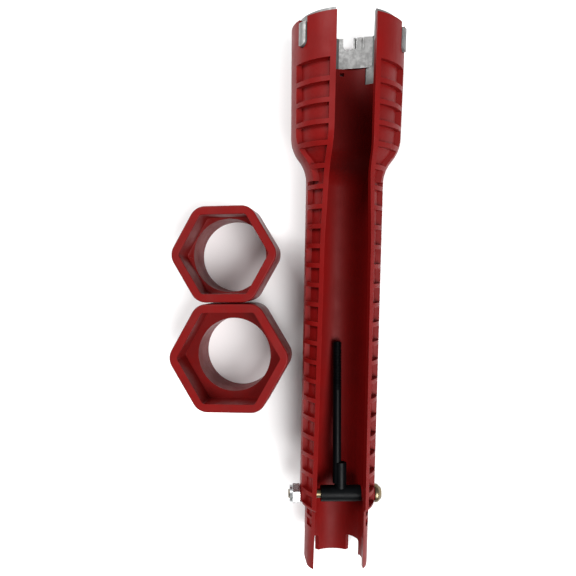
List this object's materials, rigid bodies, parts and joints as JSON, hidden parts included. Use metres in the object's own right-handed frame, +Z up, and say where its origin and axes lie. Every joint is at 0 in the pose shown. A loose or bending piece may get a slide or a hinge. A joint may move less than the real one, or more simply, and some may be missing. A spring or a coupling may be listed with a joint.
{
  "type": "basin wrench",
  "caption": "Channel-shaped plumber's wrench with a ribbed grip, cast jaw insert, hinged threaded rod and loose hexagonal box sockets.",
  "frame": {"origin": "on the table, under the middle of the box around the handle and the loose sockets", "axes": "+Y from the handle's tail towards its head, +Z up off the table along the sockets' own axes, +X towards the side of the screw's head"},
  "size_m": [0.1168, 0.2846, 0.0586],
  "materials": {
    "red_nylon": "moulded satin",
    "cast_aluminium": "as cast",
    "yellow_zinc": "yellow zinc",
    "bright_zinc": "bright zinc",
    "locking_nylon": "plain",
    "black_steel": "black oxide"
  },
  "bodies": {
    "handle": {"channel_handle": "red_nylon", "jaw_insert": "cast_aluminium", "pivot_screw": "yellow_zinc", "lock_nut": "bright_zinc", "nut_locking_ring": "locking_nylon"},
    "tee": {"pivot_tee": "black_steel", "threaded_rod": "black_steel"},
    "small_socket": {"small_hex_socket": "red_nylon"},
    "large_socket": {"large_hex_socket": "red_nylon"}
  },
  "joints": [
    {"name": "tee_hinge", "type": "hinge", "parent": "handle", "child": "tee", "pos_m": [0.02964, -0.10449, 0.01988], "axis": [0.9857, 0.0073, -0.1683], "range_deg": [0, 195]},
    {"name": "small_socket_lift", "type": "slide", "parent": "handle", "child": "small_socket", "axis": [0, 0, 1], "range_m": [0, 0.06]},
    {"name": "large_socket_lift", "type": "slide", "parent": "handle", "child": "large_socket", "axis": [0, 0, 1], "range_m": [0, 0.06]}
  ]
}
